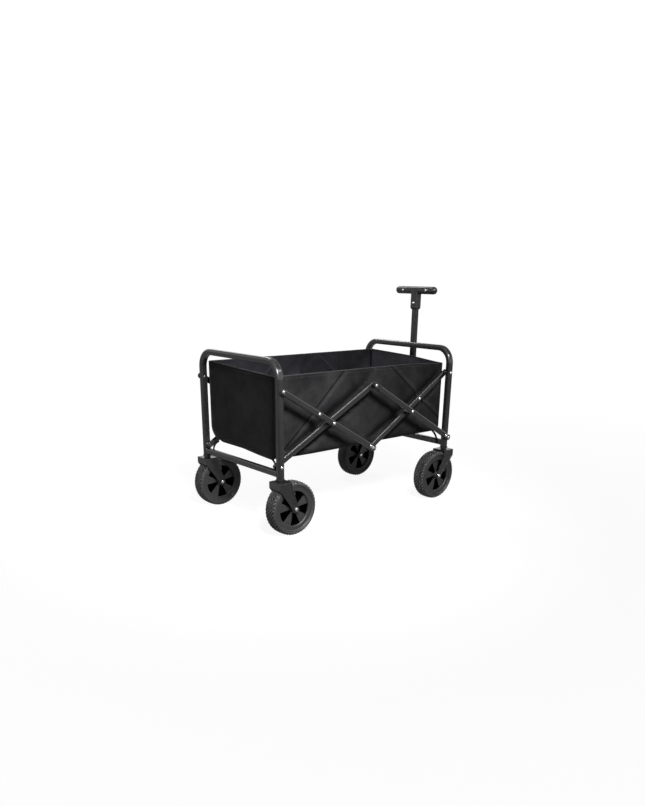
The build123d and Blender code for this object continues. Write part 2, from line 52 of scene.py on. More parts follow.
# small helpers, in metres and in the wagon's own frame
pole = 1e-5  # radius of a closed end
waveUnit = math.pi / 10  # length of one wave of a wave texture of scale 1


def srgb(hexText):  # sRGB hex to linear
    c = np.array([int(hexText[i:i + 2], 16) for i in (1, 3, 5)]) / 255.0
    c = np.where(c <= 0.04045, c / 12.92, ((c + 0.055) / 1.055) ** 2.4)
    return (*c.tolist(), 1.0)


def perMetre(millimetres):  # texture scale for cells of a real size
    return 1000.0 / millimetres


def newMaterial(name):
    mat = bpy.data.materials.new(name)
    mat.use_nodes = True
    return mat, mat.node_tree.nodes["Principled BSDF"]


def setInput(tree, socket, value):  # links a socket or a node's first output, or sets a plain value
    if isinstance(value, bpy.types.Node):
        value = value.outputs[0]
    if isinstance(value, bpy.types.NodeSocket):
        tree.links.new(value, socket)
    else:
        socket.default_value = value


def addNode(mat, kind, inputs=None, **settings):
    node = mat.node_tree.nodes.new("ShaderNode" + kind)
    for key, value in settings.items():
        setattr(node, key, value)
    for key, value in (inputs or {}).items():
        setInput(mat.node_tree, node.inputs[key], value)
    return node


def feed(mat, shader, **sockets):  # the shader's own inputs, underscores stand for spaces
    for key, value in sockets.items():
        setInput(mat.node_tree, shader.inputs[key.replace("_", " ")], value)


# grid of points (rows, columns, 3) to quads; wrap closes a direction
def gridFaces(rows, cols, wrapRows=False, wrapCols=False):
    r = np.arange(rows if wrapRows else rows - 1)
    c = np.arange(cols if wrapCols else cols - 1)
    rr, cc = np.meshgrid(r, c, indexing="ij")
    r2, c2 = (rr + 1) % rows, (cc + 1) % cols
    corners = [rr * cols + cc, rr * cols + c2, r2 * cols + c2, r2 * cols + cc]
    return np.stack(corners, -1).reshape(-1, 4)


def ringFaces(rings):  # quads of a tube given as (rings, sides, 3)
    return gridFaces(rings.shape[0], rings.shape[1], wrapCols=True)


def joinParts(parts):  # list of (points, faces) to one pair
    points, faces, base = [], [], 0
    for p, f in parts:
        p = np.asarray(p, float).reshape(-1, 3)
        points.append(p)
        faces.append(np.asarray(f) + base)
        base += len(p)
    return np.concatenate(points), np.concatenate(faces)


def makeMesh(name, points, faces, uv=None, wall=None):
    points = np.asarray(points, np.float32).reshape(-1, 3)
    faces = np.asarray(faces, np.int32)
    mesh = bpy.data.meshes.new(name)
    mesh.vertices.add(len(points))
    mesh.vertices.foreach_set("co", points.ravel())
    mesh.loops.add(faces.size)
    mesh.loops.foreach_set("vertex_index", faces.ravel())
    mesh.polygons.add(len(faces))
    mesh.polygons.foreach_set("loop_start", np.arange(len(faces), dtype=np.int32) * faces.shape[1])
    for layerName, flat in (("cut", uv), ("wall", wall)):
        if flat is not None:
            layer = mesh.uv_layers.new(name=layerName)
            flat = np.asarray(flat, np.float32).reshape(-1, 2)
            layer.data.foreach_set("uv", flat[faces.ravel()].ravel())
    mesh.update(calc_edges=True)
    mesh.validate()
    mesh.polygons.foreach_set("use_smooth", np.full(len(mesh.polygons), True))
    obj = bpy.data.objects.new(name, mesh)
    scene.collection.objects.link(obj)
    return obj


def finishPiece(obj, mat, body, standsFor=()):
    obj.data.materials.append(mat)
    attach(obj, body)
    if standsFor:
        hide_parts(*standsFor)
    return obj


def thicken(obj, thickness, outerCloth):  # the added skin faces out and has its own cloth
    obj.data.materials.append(outerCloth)
    mod = obj.modifiers.new("cloth thickness", "SOLIDIFY")
    mod.thickness = thickness
    mod.offset = 0.0
    mod.use_even_offset = False
    mod.material_offset = 1


def ramp(x):  # smooth 0..1 step
    t = np.clip(x, 0.0, 1.0)
    return t * t * (3 - 2 * t)


def runLength(points):  # distance walked along a list of points
    return np.concatenate([[0], np.cumsum(np.linalg.norm(np.diff(points, axis=0), axis=1))])


def ripples(x, z, seed, size, count=9):  # seeded sine waves with wavelengths round size
    rng = np.random.default_rng(seed)
    angles = rng.uniform(0, np.pi, count)
    phases = rng.uniform(0, 6.28, count)
    stretches = rng.uniform(0.6, 1.7, count)
    total = np.zeros(np.broadcast(x, z).shape)
    for angle, phase, stretch in zip(angles, phases, stretches):
        k = 2 * np.pi / (size * stretch)
        total = total + np.sin(k * (x * np.cos(angle) + z * np.sin(angle)) + phase)
    return total / math.sqrt(count)


# closed tube: a circle or ellipse carried along a path of points, its ends shrunk shut
def tubeAlong(path, radius, across, sides, flat=1.0, closeEnds=True):
    path = np.asarray(path, float)
    tangent = np.gradient(path, axis=0)
    tangent /= np.linalg.norm(tangent, axis=1, keepdims=True)
    across = np.asarray(across, float)
    second = np.cross(tangent, np.broadcast_to(across, tangent.shape))
    second /= np.linalg.norm(second, axis=1, keepdims=True)
    first = np.cross(second, tangent)
    turn = np.linspace(0, 2 * np.pi, sides, endpoint=False)
    rad = np.full(len(path), radius, float)
    if closeEnds:
        path = np.concatenate([path[:1], path, path[-1:]])
        first = np.concatenate([first[:1], first, first[-1:]])
        second = np.concatenate([second[:1], second, second[-1:]])
        rad = np.concatenate([[pole], rad, [pole]])
    cosine, sine = np.cos(turn)[None, :, None], np.sin(turn)[None, :, None]
    ring = first[:, None, :] * cosine + second[:, None, :] * flat * sine
    return path[:, None, :] + ring * rad[:, None, None]


# surface of revolution about an axis (0 x, 1 y, 2 z); profile is (radius, height along the axis)
def turned(centre, axis, way, profile, turns):
    profile = np.asarray(profile, float)
    turn = np.linspace(0, 2 * np.pi, turns, endpoint=False)[None, :]
    second, third = (axis + 1) % 3, (axis + 2) % 3
    points = np.zeros((len(profile), turns, 3))
    points[..., axis] = centre[axis] + way * profile[:, 1:2]
    points[..., second] = centre[second] + profile[:, :1] * np.cos(turn)
    points[..., third] = centre[third] + profile[:, :1] * np.sin(turn)
    faces = ringFaces(points)
    return points, faces if way > 0 else faces[:, ::-1]


# materials; the sizes of their patterns are in millimetres

# black polyester powder coat baked on steel tube: satin, with a faint orange-peel skin
coatLook = {"peel": 1.923, "cloud": 71.43, "dark": "#1d1d1e", "light": "#262627", "rough": (0.16, 0.23)}


def powderCoat():
    look = coatLook
    mat, skin = newMaterial("powderCoatedSteel")
    place = addNode(mat, "TexCoord").outputs["Object"]
    peel = addNode(mat, "TexNoise", {"Vector": place, "Scale": perMetre(look["peel"]), "Detail": 2.0})
    cloud = addNode(mat, "TexNoise", {"Vector": place, "Scale": perMetre(look["cloud"]), "Detail": 4.0})
    tone = addNode(mat, "ValToRGB", {"Fac": cloud})
    tone.color_ramp.elements[0].color = srgb(look["dark"])
    tone.color_ramp.elements[1].color = srgb(look["light"])
    rough = addNode(mat, "MapRange", {"Value": cloud, "To Min": look["rough"][0], "To Max": look["rough"][1]})
    bump = addNode(mat, "Bump", {"Height": peel, "Strength": 0.12, "Distance": 0.0004})
    feed(mat, skin, Base_Color=tone, Roughness=rough, Normal=bump, IOR=1.5, Specular_IOR_Level=0.85)
    return mat


# plated rivet steel: bright, a little brushed by the setting tool, in scuffs drawn wide so that they show
steelScuff = 1.4286


def rivetSteel(name, dark, light, roughLow, roughHigh):
    mat, skin = newMaterial(name)
    place = addNode(mat, "TexCoord").outputs["Object"]
    scuff = addNode(mat, "TexNoise", {"Vector": place, "Scale": perMetre(steelScuff), "Detail": 3.0})
    rough = addNode(mat, "MapRange", {"Value": scuff, "To Min": roughLow, "To Max": roughHigh})
    tone = addNode(mat, "ValToRGB", {"Fac": scuff})
    tone.color_ramp.elements[0].color = srgb(dark)
    tone.color_ramp.elements[1].color = srgb(light)
    feed(mat, skin, Base_Color=tone, Roughness=rough, Metallic=1.0)
    return mat


# injection-moulded nylon, polypropylene and soft rubber: a fine spark-eroded grain, drawn 1 to 2 mm wide so
# that it shows, over a broad unevenness of shine
plasticCloud = 45.45
# painted shade: the sunk pockets between the spokes, near the wheel's middle plane, are drawn black and
# without shine
wheelPocketShade = {"plane": 0.224, "reach": 0.0132, "colour": "#020202"}


def mouldedPlastic(name, dark, light, roughLow, roughHigh, grain, pocketShade=None):
    mat, skin = newMaterial(name)
    place = addNode(mat, "TexCoord").outputs["Object"]
    pits = addNode(mat, "TexNoise", {"Vector": place, "Scale": perMetre(grain), "Detail": 2.0})
    cloud = addNode(mat, "TexNoise", {"Vector": place, "Scale": perMetre(plasticCloud), "Detail": 3.0})
    tone = addNode(mat, "ValToRGB", {"Fac": cloud})
    tone.color_ramp.elements[0].color = srgb(dark)
    tone.color_ramp.elements[1].color = srgb(light)
    rough = addNode(mat, "MapRange", {"Value": cloud, "To Min": roughLow, "To Max": roughHigh})
    bump = addNode(mat, "Bump", {"Height": pits, "Strength": 0.2, "Distance": 0.0003})
    colour, shine = tone, 0.5
    # painted shade in the pockets between the spokes: black colour, shine taken away
    if pocketShade:
        split = addNode(mat, "SeparateXYZ", {"Vector": place})
        side = addNode(mat, "Math", {0: split.outputs["Y"]}, operation="ABSOLUTE")
        pocketShadeMask = addNode(mat, "Math", {0: side, 1: pocketShade["plane"], 2: pocketShade["reach"]}, operation="COMPARE")
        paint = addNode(mat, "Mix", {0: pocketShadeMask, 6: colour, 7: srgb(pocketShade["colour"])}, data_type="RGBA")
        dull = addNode(mat, "Math", {0: shine, 1: pocketShadeMask}, operation="SUBTRACT")
        colour, shine = paint.outputs[2], dull
    feed(mat, skin, Base_Color=colour, Roughness=rough, Normal=bump, IOR=1.49, Specular_IOR_Level=shine)
    return mat


# pressed creases in the basket's sides, two a side, as lines in x and z; all in metres
crease = {
    "rear": ((-0.103, 0.523), (-0.372, 0.275)), "front": ((0.120, 0.521), (0.392, 0.310)), "lineWide": 0.0036,
    "lineDeep": 0.002, "bandLightAway": 0.0120, "bandLightWide": 0.0110, "cornerX": 0.3965, "cornerShadeBand": (0.016, 0.004),
    "cornerShadeTone": 0.2,
}


# a crease is a thin line sunk into the cloth; its colour is scaled there, a painted shade on the outer wall
# and a painted light on the lining, and beside it runs a band of painted light; the tones fade with distance.
# the lining's corners are darkened with painted shade
def pressCreases(mat, colour, normal, lineLightShade, bandLight, cornerShade):
    c = crease
    wall = addNode(mat, "UVMap", uv_map="wall").outputs["UV"]
    lines, lightBands = [], []
    for (x0, z0), (x1, z1) in (c["rear"], c["front"]):
        length = math.hypot(x1 - x0, z1 - z0)
        across = ((z1 - z0) / length, (x0 - x1) / length, 0)
        away = addNode(mat, "VectorMath", {0: wall, 1: (x0, z0, 0)}, operation="SUBTRACT")
        off = addNode(mat, "VectorMath", {0: away, 1: across}, operation="DOT_PRODUCT")
        # the second set of distances marks the band of painted light beside each crease
        for gaps, shift in ((lines, 0.0), (lightBands, c["bandLightAway"])):
            moved = addNode(mat, "Math", {0: off.outputs["Value"], 1: shift}, operation="ADD")
            gaps.append(addNode(mat, "Math", {0: moved}, operation="ABSOLUTE"))
    fades = []
    # lineLightShade below 1 paints shade on the line and above 1 paints light; bandLight paints light on the
    # band beside it
    for gaps, wide, tone in ((lines, c["lineWide"], lineLightShade), (lightBands, c["bandLightWide"], bandLight)):
        nearer = addNode(mat, "Math", {0: gaps[0], 1: gaps[1]}, operation="MINIMUM")
        fades.append(addNode(mat, "MapRange", {"Value": nearer, "From Max": wide, "To Min": tone},
                             interpolation_type="SMOOTHSTEP"))
    normal = addNode(mat, "Bump", {"Height": fades[0], "Strength": 0.7, "Distance": c["lineDeep"],
                                   "Normal": normal})
    # painted shade in the lining's corners, where the sides meet the end panels
    if cornerShade:
        split = addNode(mat, "SeparateXYZ", {"Vector": wall})
        out = addNode(mat, "Math", {0: split.outputs["X"]}, operation="ABSOLUTE")
        start, stop = (c["cornerX"] - inset for inset in c["cornerShadeBand"])
        fades.append(addNode(mat, "MapRange", {"Value": out, "From Min": start, "From Max": stop,
                                               "To Min": 1.0, "To Max": c["cornerShadeTone"]},
                             interpolation_type="SMOOTHSTEP"))
    for fade in fades:
        colour = addNode(mat, "VectorMath", {0: colour, "Scale": fade}, operation="SCALE")
    return colour, normal


# 600-denier polyester, plain weave. Real threads are 0.5 mm apart, drawn at 2 mm so that they show
clothLook = {"thread": 2.0, "wrinkle": 38.46, "cloud": 111.1, "toneAt": (0.34, 0.68), "rough": (0.5, 0.72),
             "threadTone": (0.8, 1.1), "threadHigh": 0.0004, "wrinkleHigh": 0.004}


# lineLightShade and bandLight scale the colour on and beside the creases: painted shade below 1, painted
# light above 1; cornerShade paints shade into the lining's corners
def wovenCloth(name, dark, light, wrinkle, creased=False, lineLightShade=0.10, bandLight=1.6, cornerShade=False):
    look = clothLook
    mat, skin = newMaterial(name)
    place = addNode(mat, "TexCoord").outputs["UV"]
    threads = perMetre(look["thread"])
    warp = addNode(mat, "TexWave", {"Vector": place, "Scale": waveUnit * threads}, bands_direction="X")
    weft = addNode(mat, "TexWave", {"Vector": place, "Scale": waveUnit * threads}, bands_direction="Y")
    over = addNode(mat, "TexChecker", {"Vector": place, "Scale": threads})
    weave = addNode(mat, "Mix", {"Factor": over.outputs["Fac"], "A": warp.outputs["Fac"],
                                 "B": weft.outputs["Fac"]})
    wrinkles = addNode(mat, "TexNoise", {"Vector": place, "Scale": perMetre(look["wrinkle"]), "Detail": 5.0,
                                         "Roughness": 0.55, "Distortion": 0.6})
    cloud = addNode(mat, "TexNoise", {"Vector": place, "Scale": perMetre(look["cloud"]), "Detail": 9.0,
                                      "Roughness": 0.68})
    tone = addNode(mat, "ValToRGB", {"Fac": cloud})
    for stop, position, hexText in zip(tone.color_ramp.elements, look["toneAt"], (dark, light)):
        stop.position = position
        stop.color = srgb(hexText)
    shade = addNode(mat, "MapRange", {"Value": weave, "To Min": look["threadTone"][0],
                                      "To Max": look["threadTone"][1]})
    colour = addNode(mat, "VectorMath", {0: tone, "Scale": shade}, operation="SCALE")
    rough = addNode(mat, "MapRange", {"Value": cloud, "To Min": look["rough"][0], "To Max": look["rough"][1]})
    ply = addNode(mat, "Bump", {"Height": weave, "Strength": 0.18, "Distance": look["threadHigh"]})
    normal = addNode(mat, "Bump", {"Height": wrinkles, "Strength": wrinkle, "Distance": look["wrinkleHigh"],
                                   "Normal": ply})
    if creased:
        colour, normal = pressCreases(mat, colour, normal, lineLightShade, bandLight, cornerShade)
    feed(mat, skin, Base_Color=colour, Roughness=rough, Normal=normal,
         Specular_IOR_Level=0.05)  # fibres scatter most of the mirror shine
    return mat


# ribbed polyester webbing for bindings and straps: dull, with fine ribs across it
tapeLook = {"rib": 1.5, "rough": (0.55, 0.8)}


def webbing(name, colour):
    mat, skin = newMaterial(name)
    place = addNode(mat, "TexCoord").outputs["UV"]
    ribs = addNode(mat, "TexWave", {"Vector": place, "Scale": waveUnit * perMetre(tapeLook["rib"])},
                   bands_direction="X").outputs["Fac"]
    bump = addNode(mat, "Bump", {"Height": ribs, "Strength": 0.4, "Distance": 0.0005})
    rough = addNode(mat, "MapRange", {"Value": ribs, "To Min": tapeLook["rough"][0],
                                      "To Max": tapeLook["rough"][1]})
    feed(mat, skin, Base_Color=srgb(colour), Roughness=rough, Normal=bump, Specular_IOR_Level=0.2)
    return mat


# moulded tyre rubber: dull and a little dusty, with painted shade in the grooves and a painted highlight on
# the block edges
rubberLook = {"dust": 16.667, "pit": 1.1111, "dark": "#2c2c2c", "light": "#3b3b3b", "rough": (0.42, 0.6),
              "edgeHighlight": -0.6, "edgeHighlightTone": 1.8, "grooveShadeTone": 0.1}


def tyreRubber():
    look = rubberLook
    mat, skin = newMaterial("mouldedRubber")
    place = addNode(mat, "TexCoord").outputs["Object"]
    dust = addNode(mat, "TexNoise", {"Vector": place, "Scale": perMetre(look["dust"]), "Detail": 5.0})
    tone = addNode(mat, "ValToRGB", {"Fac": dust})
    tone.color_ramp.elements[0].color = srgb(look["dark"])
    tone.color_ramp.elements[1].color = srgb(look["light"])
    # the groove attribute carries painted shade for the grooves and a painted highlight for the block edges
    sunk = addNode(mat, "Attribute", attribute_name="groove")
    dim = addNode(mat, "MapRange", {"Value": sunk.outputs["Fac"], "From Min": look["edgeHighlight"],
                                    "To Min": look["edgeHighlightTone"], "To Max": look["grooveShadeTone"]})
    shade = addNode(mat, "VectorMath", {0: tone, "Scale": dim}, operation="SCALE")
    rough = addNode(mat, "MapRange", {"Value": dust, "To Min": look["rough"][0], "To Max": look["rough"][1]})
    pits = addNode(mat, "TexNoise", {"Vector": place, "Scale": perMetre(look["pit"])})
    bump = addNode(mat, "Bump", {"Height": pits, "Strength": 0.15, "Distance": 0.0003})
    feed(mat, skin, Base_Color=shade, Roughness=rough, Normal=bump)
    return mat


# polyester sewing thread: plain dull black
def sewingThread():
    mat, skin = newMaterial("polyesterThread")
    feed(mat, skin, Base_Color=srgb("#242425"), Roughness=0.6)
    return mat


coat = powderCoat()
zinc = rivetSteel("zincPlatedSteel", "#b9babb", "#e3e4e4", 0.18, 0.36)
polish = rivetSteel("polishedRivetSteel", "#dcdcdc", "#f4f4f4", 0.12, 0.24)
thread = sewingThread()
blackPlastic = mouldedPlastic("mouldedNylon", "#141415", "#1d1d1e", 0.4, 0.55, 1.1111)
wheelPlastic = mouldedPlastic("mouldedPolypropylene", "#2a2a2b", "#343435", 0.42, 0.58, 1.4286, wheelPocketShade)
gripRubber = mouldedPlastic("softGripRubber", "#333336", "#3f3f43", 0.30, 0.40, 2.0)
cloth = wovenCloth("wovenPolyester", "#19191b", "#2b2b2c", 0.25)
# outer wall: crease lines in painted shade, with a band of painted light beside each
wallCloth = wovenCloth("wovenPolyesterCreased", "#1c1c1e", "#343434", 0.35, creased=True)
# painted light: the inner faces of the end panels are drawn lighter than the outer cloth, with a faint blue
# tint
litLiningPlain = wovenCloth("wovenPolyesterLiningPaintedLight", "#303034", "#48484d", 0.35)
# lining: crease lines in painted light, and painted shade in the corners
liningCloth = wovenCloth("wovenPolyesterLining", "#1a1a1d", "#2d2d31", 0.45, creased=True, lineLightShade=2.0,
                         bandLight=1.0, cornerShade=True)
floorCloth = wovenCloth("wovenPolyesterFloor", "#222223", "#2b2b2c", 0.12)
tape = webbing("ribbedPolyesterTape", "#161617")
# paler binding tape along the hem tops
hemTape = webbing("palePolyesterBinding", "#333334")
# painted light: the rear panel's top binding sits in the rail's shade and is drawn pale to show a light line
# along its top
litBindingTape = webbing("polyesterBindingPaintedLight", "#5c5c5e")
rubber = tyreRubber()
print("materials made")

# CAD nodes that keep their shape get their finish here, or else powder coat
finishOf = {
    "plugs": blackPlastic, "caps": blackPlastic, "tabs": blackPlastic, "handle_foot": blackPlastic,
    "handle_socket": gripRubber, "handle_grip": gripRubber, "rivets": zinc, "axle": zinc, "handle_pin": zinc,
    "stems": blackPlastic, "rim": wheelPlastic,
}
for nodeName, nodeObject in nodes.items():
    finish = next((m for word, m in finishOf.items() if word in nodeName), coat)
    nodeObject.data.materials.clear()
    nodeObject.data.materials.append(finish)
print("CAD nodes painted")

# basket: one strip of cloth down one side, under the floor boards and up the other side, and two end panels
basket = {
    "endX": 0.3965, "half": 0.192, "hem": 0.5305, "floor": 0.2535, "thick": 0.0014,
    "corner": 0.024, "rearLeftCorner": 0.045, "pullFrom": 0.30, "pullLong": 0.09,
    "columns": 241, "sideRows": 80, "cornerRows": 9, "floorRows": 24,
    "foldKeep": 358.1 / 793.0,  # length left between the end frames when folded
}
hem = {"tilt": 0.039, "dip": 0.007, "dipFrom": 0.20, "dipLong": 0.19, "dipWide": 0.19, "band": 0.017,
       "doubled": 0.0006, "step": 0.002}
lowerEdge = {"lift": 0.016, "liftFrom": 0.378, "liftLong": 0.0185, "liftRight": 0.19, "liftWide": 0.33,
             "sag": 0.004, "sagWide": 0.15, "sagFront": 0.25, "sagLong": 0.5, "sagRear": 0.1}
relief = {
    "swell": 0.0110, "swellOver": 0.017, "dip": 0.0025, "dipOver": 0.010, "belly": 0.0022, "heldOver": 0.03,
    "barRear": ((-0.405, 0.237), (0.0, 0.469)), "barFront": ((0.0, 0.250), (0.405, 0.482)),
    "press": 0.020, "pressWide": 0.026, "pressUnder": 0.012, "barEnd": (0.03, 0.02), "barFade": 0.04,
    "waves": ((0.0011, 11, 0.17), (0.0004, 31, 0.07)),  # height, seed, length
    "wavesFrom": 0.1, "seamX": 0.036, "pinch": 0.0035, "pinchWide": 0.006, "pinchDeep": 0.026,
    "pinchFade": 0.012,
}


# height of the hem: it rides up towards the left side and dips at the front right corner
def hemHeight(x, y):
    dip = hem["dip"] * ramp((x - hem["dipFrom"]) / hem["dipLong"]) * ramp(-y / hem["dipWide"])
    return basket["hem"] + hem["tilt"] * y - dip


# height of the lower edge: drawn up at the rear left corner by the strap, sagging a little on the right
def floorHeight(x, y):
    e = lowerEdge
    lift = e["lift"] * ramp((-x - e["liftFrom"]) / e["liftLong"]) * ramp((y + e["liftRight"]) / e["liftWide"])
    along = ramp((e["sagFront"] - x) / e["sagLong"]) * ramp((x + basket["endX"]) / e["sagRear"])
    return basket["floor"] + lift - e["sag"] * ramp(-y / e["sagWide"]) * along


def hemDoubled(below):  # the cloth is doubled over a band below the hem
    return hem["doubled"] * (1 - ramp((below - hem["band"]) / hem["step"]))


# distance from a line, positive on the side that sign picks
def lineDistance(x, z, line, sign=1.0):
    (x0, z0), (x1, z1) = line
    length = math.hypot(x1 - x0, z1 - z0)
    return sign * ((x - x0) * (z1 - z0) - (z - z0) * (x1 - x0)) / length


# how far the side stands out from its flat plane: the middle panel stands out past two pressed creases, the
# corner panels dip towards them, the two inner bars press a shallow valley each, the hem is doubled, and the
# cloth has shallow ripples; held flat at the ends
def sideRelief(x, z, side):
    b, r = basket, relief
    inside = np.minimum(lineDistance(x, z, crease["rear"]), lineDistance(x, z, crease["front"], -1.0))
    swell = r["swell"] * (1 - np.exp(-np.clip(inside, 0, None) / r["swellOver"]))
    dip = -r["dip"] * np.exp(-np.abs(inside) / r["dipOver"])
    rearEnd, frontEnd = r["barEnd"]
    for bar, reach in (("barRear", rearEnd - x), ("barFront", x + frontEnd)):
        off = (lineDistance(x, z, r[bar]) - r["pressUnder"]) / r["pressWide"]
        dip = dip - r["press"] * ramp(reach / r["barFade"]) * np.exp(-off ** 2)
    below = hemHeight(x, side * b["half"]) - z
    up = (z - b["floor"]) / (b["hem"] - b["floor"])
    held = ramp((b["endX"] - np.abs(x)) / r["heldOver"])
    belly = r["belly"] * np.sin(np.pi * np.clip(up, 0, 1)) * np.cos(0.5 * np.pi * x / b["endX"])
    waves = sum(high * ripples(x, z, seed + side, size) for high, seed, size in r["waves"])
    seam = np.exp(-((x - r["seamX"]) / r["pinchWide"]) ** 2)
    pinch = -r["pinch"] * seam * ramp((r["pinchDeep"] - below) / r["pinchFade"])
    return (swell + dip + belly + waves * ramp(up / r["wavesFrom"]) + pinch) * held + hemDoubled(below)


def foldWithFrame(obj):  # gives the piece its own copy of its mesh
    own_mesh(obj)


# each section runs down the left side, round a quarter circle, under the floor and up the right side
def makeBasketBody():
    b = basket
    x = np.linspace(-b["endX"], b["endX"], b["columns"])[:, None]
    rearPull = ramp((-x - b["pullFrom"]) / b["pullLong"])
    rLeft = b["corner"] + (b["rearLeftCorner"] - b["corner"]) * rearPull
    rRight = np.full_like(x, b["corner"])
    down = np.linspace(0, 1, b["sideRows"])[None, :]
    arc = np.linspace(0, 0.5 * np.pi, b["cornerRows"] + 2)[None, 1:-1]
    across = np.linspace(0, 1, b["floorRows"])[None, :]
    y, z = [], []
    for sign, radius in ((1, rLeft), (-1, rRight)):
        top, base = hemHeight(x, sign * b["half"]), floorHeight(x, sign * b["half"])
        zSide = top + (base + radius - top) * down
        out = sideRelief(x, zSide, sign)
        yArc = b["half"] - radius + radius * np.cos(arc) + out[:, -1:] * (1 - arc / (0.5 * np.pi))
        zArc = base + radius - radius * np.sin(arc)
        y.append(sign * np.concatenate([b["half"] + out, yArc], 1))
        z.append(np.concatenate([zSide, zArc], 1))
    yFloor = (b["half"] - rLeft) + (rRight + rLeft - 2 * b["half"]) * across
    yAll = np.concatenate([y[0], yFloor, y[1][:, ::-1]], 1)
    zAll = np.concatenate([z[0], floorHeight(x, yFloor), z[1][:, ::-1]], 1)
    xAll = np.broadcast_to(x, yAll.shape)
    points = np.stack([xAll, yAll, zAll], -1)
    run = runLength(points[b["columns"] // 2])
    uv = np.stack([xAll, np.broadcast_to(run, xAll.shape)], -1)
    obj = makeMesh("basketBody", points, gridFaces(*yAll.shape), uv, wall=np.stack([xAll, zAll], -1))
    walls = [f"{e}_side_wall_{side}" for e in ("rear", "front") for side in ("left", "right")]
    finishPiece(obj, liningCloth, "rear_frame", walls)
    thicken(obj, b["thick"], wallCloth)
    foldWithFrame(obj)
    print("basket body", yAll.size, "points, girth", round(float(run[-1]), 3))
    return obj, float(run[-1])


# a row of sewn stitches: short round beads of thread laid end to end along a list of points
stitch = {"pitch": 0.0056, "length": 0.0038, "radius": 0.00036, "points": 4, "sides": 6,
          "across": (0.3, 0.5, 0.8), "drop": 0.0095, "sideInset": 0.006, "panelInset": 0.008,
          "edgeInset": 0.009, "edgeSkip": 4}


def stitchRow(path):
    path = np.asarray(path, float)
    run = runLength(path)
    parts = []
    for start in np.arange(0.5 * stitch["pitch"], run[-1] - stitch["pitch"], stitch["pitch"]):
        at = start + np.linspace(0, stitch["length"], stitch["points"])
        line = np.stack([np.interp(at, run, path[:, i]) for i in range(3)], -1)
        rings = tubeAlong(line, stitch["radius"], stitch["across"], stitch["sides"])
        parts.append((rings, ringFaces(rings)))
    return joinParts(parts)


def makeHemStitches():
    b = basket
    reach = b["endX"] - stitch["sideInset"]
    x = np.linspace(-reach, reach, 400)
    parts = []
    for sign in (1, -1):
        z = hemHeight(x, sign * b["half"]) - stitch["drop"]
        y = sign * (b["half"] + sideRelief(x, z, sign) + b["thick"] / 2)
        parts.append(stitchRow(np.stack([x, y, z], -1)))
    obj = makeMesh("hemStitches", *joinParts(parts))
    finishPiece(obj, thread, "rear_frame")
    foldWithFrame(obj)
    return obj


# round tapes: a binding over the top edge of the cloth, and piping round the rest of an end panel
binding = {"radius": 0.0021, "sides": 8, "girth": 0.013, "across": (0.2, 0.2, 1.0), "drop": 0.0010}
piping = {"radius": 0.0027, "sides": 10, "girth": 0.017, "across": (1, 0, 0), "out": 0.0012}


def makeTape(name, path, look, body, mat):  # a tube along the path
    rings = tubeAlong(path, look["radius"], look["across"], look["sides"])
    run, girth = runLength(rings.mean(1)), np.linspace(0, look["girth"], look["sides"])
    uv = np.stack(np.broadcast_arrays(run[:, None], girth[None, :]), -1)
    return finishPiece(makeMesh(name, rings, ringFaces(rings), uv), mat, body)


def makeSideBindings():
    b = basket
    x = np.linspace(-b["endX"], b["endX"], 240)
    made = []
    for sign, sideName in ((1, "left"), (-1, "right")):
        z = hemHeight(x, sign * b["half"])
        y = sign * (b["half"] + sideRelief(x, z, sign))
        path = np.stack([x, y, z - binding["drop"]], -1)
        made.append(makeTape(sideName + "Binding", path, binding, "rear_frame", hemTape))
        foldWithFrame(made[-1])
    return made


# end panels: flat cloth with rounded lower corners, bellied a little by the tension of the sides
panel = {"rows": 80, "cols": 100, "crowd": 1.15, "belly": 0.0030, "bellyLow": 0.8, "thick": 0.0014,
         "wave": 0.0009, "waveSeed": 50, "waveLong": 0.17, "wavesFrom": 0.1}


def panelEdge(z, radius, base):  # half width of a panel at height z, with its corner standing on base
    depth = np.clip(radius - (z - base), 0, radius)
    return basket["half"] - radius + np.sqrt(np.maximum(radius ** 2 - depth ** 2, 0))


def panelOut(y, z, end):  # how far the panel stands out past the end of the basket
    b, p = basket, panel
    u = np.clip((y / b["half"] + 1) / 2, 0, 1)
    v = np.clip((z - b["floor"]) / (b["hem"] - b["floor"]), 0, 1)
    bulge = p["belly"] * np.sin(np.pi * u) * np.sin(np.pi * v ** p["bellyLow"])
    waves = p["wave"] * ripples(y, z, p["waveSeed"] + end, p["waveLong"])
    waves = waves * np.sin(np.pi * u) * ramp(v / p["wavesFrom"])
    return bulge + waves + hemDoubled(hemHeight(end * b["endX"], y) - z)


def makeEndPanel(name, end, leftCorner, rightCorner, body, node):
    b, p = basket, panel
    v = np.linspace(0, 1, p["rows"])[:, None] ** p["crowd"]
    u = np.linspace(0, 1, p["cols"])[None, :]
    flatY = b["half"] * (2 * u - 1)
    base = floorHeight(end * b["endX"], flatY)
    z = base + (hemHeight(end * b["endX"], flatY) - base) * v
    left, right = panelEdge(z, leftCorner, base[:, -1:]), panelEdge(z, rightCorner, base[:, :1])
    y = -right + (right + left) * u
    x = end * (b["endX"] + panelOut(y, z, end))
    faces = gridFaces(p["rows"], p["cols"])
    if end > 0:
        faces = faces[:, ::-1]
    obj = makeMesh(name, np.stack([x, y, z], -1), faces, np.stack([y, z], -1))
    # the inner face takes the lighter lining, a painted light
    finishPiece(obj, litLiningPlain, body, [node])
    thicken(obj, p["thick"], cloth)
    return obj


